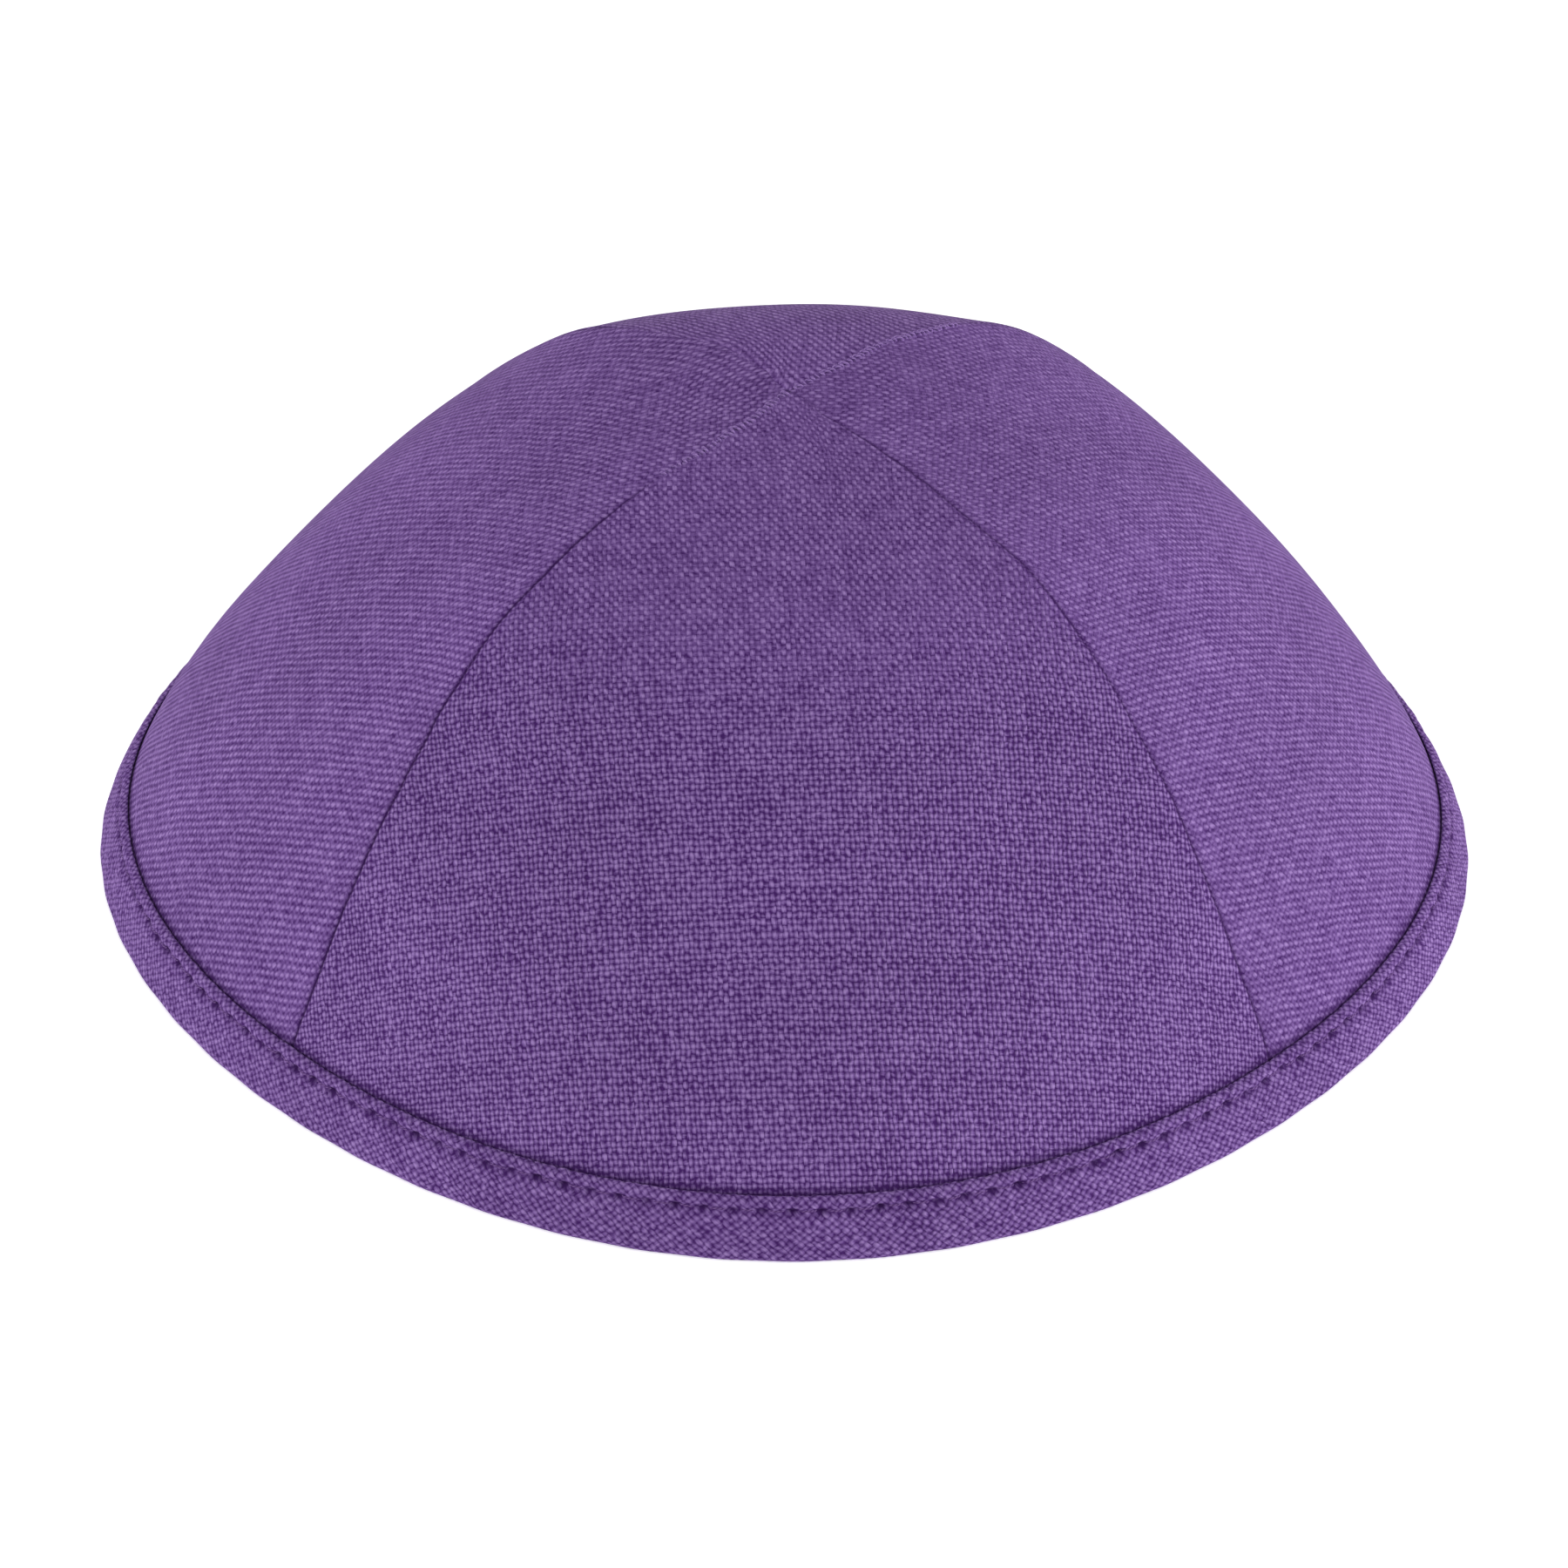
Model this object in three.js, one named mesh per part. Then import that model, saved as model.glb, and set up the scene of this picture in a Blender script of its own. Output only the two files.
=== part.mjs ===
// A four-panel linen skullcap with a folded strip round its rim, resting on that rim.
// Millimetres, +Z up. The origin is the middle of the rim's rest plane, and the front panel faces -Y.
import * as THREE from 'three';

// Driving dimensions
const crownHeight = 64.0;       // top of the crown above the rest plane
const wallThickness = 1.0;      // linen, interfacing and backing pressed together
const seamGap = 0.3;            // between two neighbouring panels
const panelFoot = 2.2;          // height at which a panel's lower edge ends inside the folded strip
const leanBack = 0.057;         // the crown's back stands this much higher per millimetre of depth
const leanRight = 0.031;        // and its right side, per millimetre of width
const crownColour = 0x6f528a;   // dyed linen seen straight on
const stripColour = 0x684b83;   // the same linen cut on the bias, which looks a little darker
const clothRoughness = 0.9;

// The crown's outer face in rows from the rim to the top. Each row lies at crownHeight * sin(lift),
// and cos(lift) times these widths is its distance from the axis at a seam and at a panel's middle.
const crownRows = [
  { lift: 0, seam: 85.6, middle: 88.0 },
  { lift: 18, seam: 79.0, middle: 80.4 },
  { lift: 36, seam: 77.8, middle: 74.5 },
  { lift: 54, seam: 80.4, middle: 73.0 },
  { lift: 72, seam: 91.5, middle: 74.1 },
  { lift: 90, seam: 95.5, middle: 80.5 },
];
const squareFrom = 36;          // lift above which a row is four plain arcs that meet in corners

// The folded strip's section, once round from the outer edge of its rest face: height above the
// rest plane, and distance out from the crown's outer face at that height. It hugs both faces of
// the wall with a small gap. Its outer leg dips where it is sewn through, below a rounded edge.
const stripSection = [
  { height: 0.0, reach: 0.4 },
  { height: 0.3, reach: 1.05 },
  { height: 0.9, reach: 1.45 },
  { height: 3.4, reach: 1.6 },
  { height: 5.3, reach: 1.35 },
  { height: 6.7, reach: 1.65 },
  { height: 7.5, reach: 1.45 },
  { height: 7.7, reach: 0.85 },
  { height: 7.3, reach: 0.35 },
  { height: 4.2, reach: 0.35 },
  { height: 1.7, reach: 0.35 },
  { height: 1.2, reach: -0.1 },
  { height: 1.2, reach: -1.1 },
  { height: 1.7, reach: -1.55 },
  { height: 4.0, reach: -1.55 },
  { height: 6.4, reach: -1.55 },
  { height: 6.9, reach: -1.9 },
  { height: 6.9, reach: -2.4 },
  { height: 6.4, reach: -2.7 },
  { height: 4.0, reach: -2.7 },
  { height: 1.0, reach: -2.65 },
  { height: 0.3, reach: -2.3 },
  { height: 0.0, reach: -1.7 },
];

const panelNames = ['panel_right', 'panel_back', 'panel_left', 'panel_front'];
const halfPanel = Math.PI / panelNames.length;
const setOut = seamGap / 2 / Math.sin(halfPanel);   // shift of a panel that opens its seams' gaps
const stepsAcross = 22;         // faces across a panel
const stepsUp = 18;             // faces from a panel's foot to the top
const stepsRound = 104;         // stations of the folded strip
const slopeReach = 0.5;         // degrees of lift to each side over which a profile's slope is taken

// Natural cubic spline through one column of the rows, as a function of lift in degrees
function columnCurve(column) {
  const step = crownRows[1].lift - crownRows[0].lift;
  const value = crownRows.map((row) => row[column]);
  const last = value.length - 1;
  const bend = new Array(last + 1).fill(0);
  const share = new Array(last + 1).fill(0);
  for (let i = 1; i < last; i += 1) {
    const pivot = 4 - share[i - 1];
    share[i] = 1 / pivot;
    bend[i] = (6 * (value[i + 1] - 2 * value[i] + value[i - 1]) / step ** 2 - bend[i - 1]) / pivot;
  }
  for (let i = last - 1; i > 0; i -= 1) {
    bend[i] -= share[i] * bend[i + 1];
  }
  return (lift) => {
    const i = Math.min(Math.floor(lift / step), last - 1);
    const b = (lift - crownRows[i].lift) / step;
    const a = 1 - b;
    const cubic = (a ** 3 - a) * bend[i] + (b ** 3 - b) * bend[i + 1];
    return a * value[i] + b * value[i + 1] + cubic * step ** 2 / 6;
  };
}

const seamWidth = columnCurve('seam');
const middleWidth = columnCurve('middle');

// One point of a profile, moved square to it by inset towards the hollow
function profilePoint(width, lift, inset) {
  const at = (degrees) => {
    const angle = THREE.MathUtils.degToRad(degrees);
    return new THREE.Vector2(width(degrees) * Math.cos(angle), crownHeight * Math.sin(angle));
  };
  const point = at(lift);
  if (inset === 0) return point;
  const along = at(Math.min(lift + slopeReach, 90)).sub(at(Math.max(lift - slopeReach, 0))).normalize();
  point.x = Math.max(point.x - along.y * inset, 0);
  point.y += along.x * inset;
  return point;
}

// How near an angle off a panel's middle is to that middle: 1 there, and 0 at the seams
function middleShare(turn) {
  return Math.cos(2 * turn) ** 2;
}

// Distance from the axis at an angle off the panel's middle, for given distances at seam and middle.
// It is a smooth ring at the rim, and four arcs that meet in corners higher up.
function rowRadius(seam, middle, turn, lift) {
  const ring = seam + (middle - seam) * middleShare(turn);
  const square = THREE.MathUtils.smoothstep(lift, 0, squareFrom);
  const halfChord = seam * Math.SQRT1_2;
  const rise = middle - halfChord;
  if (square === 0 || rise <= 0) return ring;
  const bow = (halfChord ** 2 + rise ** 2) / (2 * rise);
  const centre = middle - bow;
  const along = centre * Math.cos(turn);
  const arc = along + Math.sqrt(along ** 2 - centre ** 2 + bow ** 2);
  return ring + (arc - ring) * square;
}

// The worn crown leans a little, most of all halfway up, and its rim stays flat
function lean(point) {
  const inside = Math.max(1 - (point.x ** 2 + point.y ** 2) / crownRows[0].seam ** 2, 0);
  point.z += (leanBack * point.y + leanRight * point.x) * inside ** 2;
  return point;
}

// Turn 0 is a panel's middle, and direction is the way that this middle faces, seen from above
function wallPoint(direction, turn, lift, inset) {
  const seam = profilePoint(seamWidth, lift, inset);
  const middle = profilePoint(middleWidth, lift, inset);
  const radius = rowRadius(seam.x, middle.x, turn, lift);
  const height = seam.y + (middle.y - seam.y) * middleShare(turn);
  const angle = direction + turn;
  return lean(new THREE.Vector3(
    radius * Math.cos(angle) + setOut * Math.cos(direction),
    radius * Math.sin(angle) + setOut * Math.sin(direction),
    height,
  ));
}

function solid(name, points, faces, colour) {
  const geometry = new THREE.BufferGeometry().setFromPoints(points);
  geometry.setIndex(faces.flat());
  geometry.computeVertexNormals();
  const material = new THREE.MeshStandardMaterial({ color: colour, roughness: clothRoughness, metalness: 0 });
  const mesh = new THREE.Mesh(geometry, material);
  mesh.name = name;
  return mesh;
}

// One face of a panel's wall: rows of points from the foot up, and a single point at the top
function wallGrid(direction, inset) {
  const foot = THREE.MathUtils.radToDeg(Math.asin(panelFoot / crownHeight));
  const grid = [];
  for (let row = 0; row < stepsUp; row += 1) {
    const lift = foot + (90 - foot) * row / stepsUp;
    for (let column = 0; column <= stepsAcross; column += 1) {
      const turn = halfPanel * (2 * column / stepsAcross - 1);
      grid.push(wallPoint(direction, turn, lift, inset));
    }
  }
  grid.push(wallPoint(direction, 0, 90, inset));
  return grid;
}

// The two faces that join an outer edge to the inner one behind it
function edgeFaces(from, to, inward) {
  return [[from, to, inward(to)], [from, inward(to), inward(from)]];
}

// A curved triangle of cloth with its outer and inner face, two seam edges and a foot
function crownPanel(name, direction) {
  const outer = wallGrid(direction, 0);
  const inner = wallGrid(direction, wallThickness);
  const width = stepsAcross + 1;
  const top = outer.length - 1;
  const index = (row, column) => (row === stepsUp ? top : row * width + column);
  const inward = (i) => i + outer.length;
  const faces = [];
  for (let row = 0; row < stepsUp; row += 1) {
    for (let column = 0; column < stepsAcross; column += 1) {
      const a = index(row, column);
      const b = index(row, column + 1);
      const c = index(row + 1, column + 1);
      const d = index(row + 1, column);
      faces.push([a, b, c], [inward(a), inward(c), inward(b)]);
      if (row < stepsUp - 1) faces.push([a, c, d], [inward(a), inward(d), inward(c)]);
    }
    const left = [index(row, 0), index(row + 1, 0)];
    const right = [index(row, stepsAcross), index(row + 1, stepsAcross)];
    faces.push(...edgeFaces(left[0], left[1], inward), ...edgeFaces(right[1], right[0], inward));
  }
  for (let column = 0; column < stepsAcross; column += 1) {
    faces.push(...edgeFaces(index(0, column + 1), index(0, column), inward));
  }
  return solid(name, [...outer, ...inner], faces, crownColour);
}

// The strip of cloth folded over the panels' lower edges
function rimBinding() {
  const points = [];
  const faces = [];
  const count = stripSection.length;
  for (let station = 0; station < stepsRound; station += 1) {
    const angle = 2 * Math.PI * station / stepsRound;
    const turn = angle - 2 * halfPanel * Math.round(angle / (2 * halfPanel));
    for (const { height, reach } of stripSection) {
      const lift = THREE.MathUtils.radToDeg(Math.asin(height / crownHeight));
      const seam = profilePoint(seamWidth, lift, 0).x;
      const middle = profilePoint(middleWidth, lift, 0).x;
      const radius = rowRadius(seam, middle, turn, lift) + setOut + reach;
      points.push(new THREE.Vector3(radius * Math.cos(angle), radius * Math.sin(angle), height));
    }
    const next = (station + 1) % stepsRound;
    for (let i = 0; i < count; i += 1) {
      const j = (i + 1) % count;
      const here = station * count;
      const there = next * count;
      faces.push([here + i, there + i, there + j], [here + i, there + j, here + j]);
    }
  }
  return solid('rim_binding', points, faces, stripColour);
}

const skullcap = new THREE.Group();
panelNames.forEach((name, i) => skullcap.add(crownPanel(name, 2 * halfPanel * i)));
skullcap.add(rimBinding());

export default skullcap;
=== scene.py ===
import math

import bpy
import numpy as np
from mathutils import Matrix, Vector


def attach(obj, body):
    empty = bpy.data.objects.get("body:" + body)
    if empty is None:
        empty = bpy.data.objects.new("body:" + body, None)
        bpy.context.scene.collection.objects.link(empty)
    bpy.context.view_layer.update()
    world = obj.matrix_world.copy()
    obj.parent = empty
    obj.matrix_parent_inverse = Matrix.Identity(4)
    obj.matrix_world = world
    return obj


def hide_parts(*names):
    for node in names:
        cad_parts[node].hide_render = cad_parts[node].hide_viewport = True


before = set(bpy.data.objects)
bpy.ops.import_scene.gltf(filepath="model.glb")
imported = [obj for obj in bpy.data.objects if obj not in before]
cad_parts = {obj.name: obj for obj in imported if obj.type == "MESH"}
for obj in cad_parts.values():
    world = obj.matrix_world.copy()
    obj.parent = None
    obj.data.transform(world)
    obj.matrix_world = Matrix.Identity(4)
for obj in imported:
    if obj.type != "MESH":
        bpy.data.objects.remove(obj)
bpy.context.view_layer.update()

millimetre = 0.001
print("frame: loaded")


# Camera, floor and light

shot = {
    "elevation": 34.764,            # degrees above the floor
    "azimuth": 0.206,               # degrees to the right of the front
    "roll": -0.0119,                # radians
    "distance": 0.569,              # from the middle of the rim's rest plane
    "focalPixels": 4973.5,
    "framePixels": 1800,
    "originPixel": (900.84, 940.08),    # where the middle of the rim's rest plane shows
    "sensor": 36,                   # millimetres
}

studio = {
    "floorSize": 16,
    "floorTone": 0.93,
    "floorRoughness": 0.9,
    "floorGlow": 0.5,               # the floor is a lit panel, so that it stays pale round the rim
    "sky": 0.45,                    # strength of the even light from all round
    "boxes": {                      # place, size and watts of each soft light, all aimed at the crown
        "rightLight": {"place": (1.3, -0.1, 0.25), "size": 0.42, "watts": 8.7},
        "leftLight": {"place": (-1.3, -0.1, 0.25), "size": 0.42, "watts": 5.7},
        "topLight": {"place": (0, -0.25, 1.3), "size": 0.8, "watts": 3.0},
    },
    "aim": (0, 0, 0.03),
}


def placeCamera():
    tilt = math.radians(shot["elevation"])
    around = Matrix.Rotation(math.radians(shot["azimuth"]), 3, "Z")
    ahead = around @ Vector((0, math.cos(tilt), -math.sin(tilt)))
    right = around @ Vector((1, 0, 0))
    up = right.cross(ahead)
    turned = math.cos(shot["roll"]) * right - math.sin(shot["roll"]) * up
    upright = math.sin(shot["roll"]) * right + math.cos(shot["roll"]) * up
    lens = bpy.data.cameras.new("shot")
    lens.sensor_width = shot["sensor"]
    lens.lens = shot["focalPixels"] / shot["framePixels"] * shot["sensor"]
    middle = shot["framePixels"] / 2
    lens.shift_x = (middle - shot["originPixel"][0]) / shot["framePixels"]
    lens.shift_y = (shot["originPixel"][1] - middle) / shot["framePixels"]
    camera = bpy.data.objects.new("shot", lens)
    facing = Matrix((turned, upright, -ahead)).transposed().to_4x4()
    camera.matrix_world = Matrix.Translation(-shot["distance"] * ahead) @ facing
    bpy.context.collection.objects.link(camera)
    bpy.context.scene.camera = camera


def layFloor(finish):
    reach = studio["floorSize"] / 2
    mesh = bpy.data.meshes.new("floor")
    corners = [(-reach, -reach, 0), (reach, -reach, 0), (reach, reach, 0), (-reach, reach, 0)]
    mesh.from_pydata(corners, [], [(0, 1, 2, 3)])
    mesh.materials.append(finish)
    floor = bpy.data.objects.new("floor", mesh)
    bpy.context.collection.objects.link(floor)


def hangLights():
    for name, box in studio["boxes"].items():
        light = bpy.data.lights.new(name, "AREA")
        light.size = box["size"]
        light.energy = box["watts"]
        holder = bpy.data.objects.new(name, light)
        holder.location = box["place"]
        towards = Vector(studio["aim"]) - holder.location
        holder.rotation_euler = towards.to_track_quat("-Z", "Y").to_euler()
        holder.visible_camera = False     # a light box doesn't show behind the cap
        bpy.context.collection.objects.link(holder)
    world = bpy.data.worlds.new("studio")
    world.use_nodes = True
    background = world.node_tree.nodes["Background"]
    background.inputs["Color"].default_value = (1, 1, 1, 1)
    background.inputs["Strength"].default_value = studio["sky"]
    bpy.context.scene.world = world
    bpy.context.scene.view_settings.view_transform = "Standard"


# Materials: a wire is a socket on which arithmetic adds Math nodes

class Wire:
    def __init__(self, nodes, socket):
        self.nodes = nodes
        self.socket = socket

    def output(self, name):
        return Wire(self.nodes, self.socket.node.outputs[name])

    def math(self, operation, *others):
        return self.nodes.math(operation, self, *others)

    def __add__(self, other):
        return self.math("ADD", other)

    def __sub__(self, other):
        return self.math("SUBTRACT", other)

    def __rsub__(self, other):
        return self.nodes.math("SUBTRACT", other, self)

    def __mul__(self, other):
        return self.math("MULTIPLY", other)

    def __truediv__(self, other):
        return self.math("DIVIDE", other)

    def __neg__(self):
        return self.math("MULTIPLY", -1)

    __radd__ = __add__
    __rmul__ = __mul__


class Nodes:                              # a node tree that is written as expressions
    def __init__(self, tree):
        self.tree = tree

    def node(self, kind, settings, sockets, output=0):
        made = self.tree.nodes.new(kind)
        for name, value in settings.items():
            setattr(made, name, value)
        for name, value in sockets.items():
            if isinstance(value, Wire):
                self.tree.links.new(value.socket, made.inputs[name])
            else:
                made.inputs[name].default_value = value
        return Wire(self, made.outputs[output] if made.outputs else None)

    def math(self, operation, *values):
        return self.node("ShaderNodeMath", {"operation": operation}, dict(enumerate(values)))

    def vector(self, x, y, z=0):
        return self.node("ShaderNodeCombineXYZ", {}, {"X": x, "Y": y, "Z": z})


class Finish(Nodes):
    def __init__(self, name):
        self.material = bpy.data.materials.new(name)
        self.material.use_nodes = True
        super().__init__(self.material.node_tree)
        self.tree.nodes.clear()

    def noise(self, place, scale=1, detail=0):        # from 0 to 1, and 0.5 on average
        settings = {"noise_dimensions": "2D"}
        sockets = {"Vector": place, "Scale": scale, "Detail": detail}
        return self.node("ShaderNodeTexNoise", settings, sockets)

    def rise(self, value, low, high):                 # smooth step from 0 at low to 1 at high
        settings = {"interpolation_type": "SMOOTHSTEP"}
        sockets = {"Value": value, "From Min": low, "From Max": high}
        return self.node("ShaderNodeMapRange", settings, sockets)

    def mix(self, share, low, high):                  # of two colours
        return self.node("ShaderNodeMix", {"data_type": "RGBA"}, {0: share, 6: low, 7: high}, 2)

    def attribute(self, name):
        return self.node("ShaderNodeAttribute", {"attribute_name": name}, {}, "Fac")

    def surface(self, sockets):
        shader = self.node("ShaderNodeBsdfPrincipled", {}, sockets)
        self.node("ShaderNodeOutputMaterial", {}, {"Surface": shader})
        return self.material


def dye(red, green, blue):                            # a screen colour as the shader's linear one
    linear = [((c / 255 + 0.055) / 1.055) ** 2.4 for c in (red, green, blue)]
    return (*linear, 1)


def floorFinish():
    tone = studio["floorTone"]
    finish = Finish("floor")
    return finish.surface({
        "Base Color": (tone, tone, tone, 1),
        "Roughness": studio["floorRoughness"],
        "Emission Color": (1, 1, 1, 1),
        "Emission Strength": studio["floorGlow"],
    })


linen = {
    "warpPitch": 0.585 * millimetre,      # from one upright thread to the next
    "weftPitch": 0.76 * millimetre,       # from one level thread to the next
    "warpWidth": 0.40,                    # half a thread, as a share of its pitch
    "weftWidth": 0.36,
    # How far threads are off their even places, in pitches, and how fine the noise is that moves them
    "wander": 0.35,                       # both kinds together
    "wanderScale": 110,
    "warpCrowd": 0.6,                     # closer in some places, further apart in others
    "warpCrowdScale": 260,
    "weftCrowd": 0.8,
    "weftCrowdScale": 200,
    "crowdRows": (3.7, 9.1),              # rows of the noise that these two read
    # What changes along each thread, and how quickly it does from one crossing to the next
    "slub": 0.14,                         # its width
    "slubPaces": (0.11, 0.08),            # of upright and of level threads
    "wiggle": 0.45,                       # its middle, in pitches to the sides
    "wigglePace": 0.5,
    "fibrePaces": (5, 1.3),               # its streaks, across the thread and along it
    "fibreShift": 30,
    # Each thread reads its noises on lines of its own: its number times a step, and a shift
    "noiseLines": {"warpSlub": (7.31, 0), "weftSlub": (5.17, 40), "warpStray": (3.93, 20),
                   "weftStray": (4.71, 70)},
    "lift": 0.7,                          # how far a thread goes over and under, as a share of relief
    "bulge": 0.4,
    "soften": 0.18,                       # roundness of each crossing
    "blend": 0.15,                        # softness of the edge where a thread goes under another
    "relief": 0.09 * millimetre,
    "deepest": -0.15,                     # of the gaps, in the relief
    "ribRelief": 0.5,
    "fibreRelief": 0.3,
    "middle": 0.65,                       # height that stays as it is where the weave is least open
    "contrast": 0.25,                     # upright threads are this much lighter than level ones, a painted sheen
    "uneven": 0.35,                       # how much single crossings differ
    "slubTone": 0.8,                      # how much lighter or darker slubs and fibres make a thread
    "fibreTone": 1.0,
    "patchTone": 0.2,                     # how much larger patches differ
    "patchScale": 45,
    "shadeDepth": 1.2,                     # how far painted shade sinks into the gaps' colour
    "shadeDark": 0.4,                      # and how much it darkens
    # The gaps' colour is painted shade between the threads, and the bright one a painted highlight on their
    # tops
    "gap": dye(69, 32, 102),
    "thread": dye(121, 87, 155),
    "bright": dye(166, 134, 198),
    "threadLevels": (-0.5, 1.0),          # levels from the gaps' colour to the thread's
    "brightLevels": (0.5, 1.9),           # and on to the bright one
    "roughness": 0.9,
    "specular": 0.1,
    "sheen": 0.06,
    "sheenRoughness": 0.45,
    "sheenTint": dye(205, 178, 200),
}


def linenFinish(name, cloth):
    finish = Finish(name)
    place = finish.node("ShaderNodeUVMap", {"uv_map": "cloth"}, {})
    parts = finish.node("ShaderNodeSeparateXYZ", {}, {"Vector": place})
    u = parts.output("X")
    v = parts.output("Y")

    # Threads wander a little, and stand closer in some places than in others
    warpRow, weftRow = cloth["crowdRows"]
    wander = cloth["wander"] * finish.noise(place, cloth["wanderScale"], 1)
    warpCrowd = cloth["warpCrowd"] * finish.noise(finish.vector(u, warpRow), cloth["warpCrowdScale"])
    weftCrowd = cloth["weftCrowd"] * finish.noise(finish.vector(v, weftRow), cloth["weftCrowdScale"])
    across = u / cloth["warpPitch"] + wander + warpCrowd
    along = v / cloth["weftPitch"] + wander + weftCrowd
    warp = across.math("FLOOR")
    weft = along.math("FLOOR")
    warpSign = 1 - 2 * warp.math("FLOORED_MODULO", 2)
    weftSign = 1 - 2 * weft.math("FLOORED_MODULO", 2)

    # Slubs: each thread is thick and thin, light and dark, and strays a little, along its own length
    def threadNoise(name, number, spot, detail=0):
        step, shift = cloth["noiseLines"][name]
        return finish.noise(finish.vector(number * step + shift, spot), 1, detail)

    warpSlub = threadNoise("warpSlub", warp, along * cloth["slubPaces"][0], 1)
    weftSlub = threadNoise("weftSlub", weft, across * cloth["slubPaces"][1], 1)
    warpStray = threadNoise("warpStray", warp, along * cloth["wigglePace"])
    weftStray = threadNoise("weftStray", weft, across * cloth["wigglePace"])

    def threadSide(spot, width, slub, stray):         # off the thread's middle, and in half threads
        off = spot.math("FRACT") - (0.5 + 2 * cloth["wiggle"] * (stray - 0.5))
        return off, off / (width + 2 * cloth["slub"] * (slub - 0.5))

    warpOff, warpSide = threadSide(across, cloth["warpWidth"], warpSlub, warpStray)
    weftOff, weftSide = threadSide(along, cloth["weftWidth"], weftSlub, weftStray)
    warpWave = (along * math.pi).math("SINE") * warpSign
    weftWave = -(across * math.pi).math("SINE") * weftSign
    warpHeight = cloth["lift"] * warpWave + cloth["bulge"] * (1 - warpSide * warpSide)
    weftHeight = cloth["lift"] * weftWave + cloth["bulge"] * (1 - weftSide * weftSide)
    warpShows = finish.rise(warpHeight - weftHeight, -cloth["blend"], cloth["blend"])

    # Where the weave is less open its relief and painted gap shade are weaker; ribs along the diagonals are
    # bumps and painted light and shade
    weave = finish.node("ShaderNodeAttribute", {"attribute_name": "weave"}, {}, "Vector")
    weave = finish.node("ShaderNodeSeparateXYZ", {}, {"Vector": weave})
    dots = (warpOff * (2 * math.pi)).math("COSINE") + (weftOff * (2 * math.pi)).math("COSINE")
    height = warpHeight.math("MAXIMUM", weftHeight) + cloth["soften"] * dots - cloth["middle"]
    height = height * weave.output("X") + cloth["middle"]
    ribs = weave.output("Y") * ((across - along) * math.pi).math("COSINE")
    ribs = ribs - weave.output("Z") * ((across + along) * math.pi).math("COSINE")

    # Colour: painted shade between the threads and a painted highlight on their tops, with fine streaks
    # along the fibres
    own = weftSlub + warpShows * (warpSlub - weftSlub)
    fine, long = cloth["fibrePaces"]
    warpFibre = finish.noise(finish.vector(across * fine, along * long), 1)
    weftFibre = finish.noise(finish.vector(across * long, along * fine + cloth["fibreShift"]), 1)
    fibre = weftFibre + warpShows * (warpFibre - weftFibre)
    patch = finish.noise(place, cloth["patchScale"], 2)
    crossing = finish.node("ShaderNodeTexWhiteNoise", {"noise_dimensions": "2D"}, {
        "Vector": finish.vector(warp, weft),
    })
    level = height + ribs + cloth["contrast"] * (warpShows - 0.5) + cloth["uneven"] * (crossing - 0.5)
    level = level + cloth["slubTone"] * (own - 0.5) + cloth["fibreTone"] * (fibre - 0.5)
    # the mesh's painted shade: in seams, in needle holes and above the strip
    seam = finish.attribute("shade")
    level = level - cloth["shadeDepth"] * seam
    body = finish.mix(finish.rise(level, *cloth["threadLevels"]), cloth["gap"], cloth["thread"])
    body = finish.mix(finish.rise(level, *cloth["brightLevels"]), body, cloth["bright"])
    # painted shade darkens the colour, and larger patches differ at random
    shade = (1 - cloth["shadeDark"] * seam) * (1 + cloth["patchTone"] * (patch - 0.5))
    shaded = finish.node("ShaderNodeVectorMath", {"operation": "SCALE"}, {0: body, "Scale": shade})
    raised = height.math("MAXIMUM", cloth["deepest"]) + cloth["ribRelief"] * ribs
    raised = (raised + cloth["fibreRelief"] * fibre) * (1 - seam)
    normal = finish.node("ShaderNodeBump", {}, {
        "Height": raised, "Distance": cloth["relief"], "Strength": 1,
    })
    return finish.surface({
        "Base Color": shaded,
        "Roughness": cloth["roughness"],
        "Normal": normal,
        "Specular IOR Level": cloth["specular"],
        "Sheen Weight": cloth["sheen"],
        "Sheen Roughness": cloth["sheenRoughness"],
        "Sheen Tint": cloth["sheenTint"],
    })


thread = {
    "plies": 2,
    "plyPitch": 0.45 * millimetre,        # from one ply to the next, along the thread
    # dark and light follow the plies' relief: painted shade in the grooves, painted highlight on the crests
    "dark": dye(84, 50, 112),
    "light": dye(130, 95, 158),
    "relief": 0.02 * millimetre,
    "roughness": 0.8,
    "specular": 0.2,
}
frayedThread = {**thread, "dark": dye(126, 91, 161), "light": dye(171, 138, 203)}


def threadFinish(name, yarn):
    finish = Finish(name)
    along = finish.attribute("alongThread")
    around = finish.attribute("aroundThread")
    ply = ((along / yarn["plyPitch"] + yarn["plies"] * around) * (2 * math.pi)).math("SINE")
    return finish.surface({
        # painted shade in the grooves between plies, and a painted highlight on their crests
        "Base Color": finish.mix(0.5 + 0.5 * ply, yarn["dark"], yarn["light"]),
        "Roughness": yarn["roughness"],
        "Normal": finish.node("ShaderNodeBump", {}, {"Height": ply, "Distance": yarn["relief"]}),
        "Specular IOR Level": yarn["specular"],
    })


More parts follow.
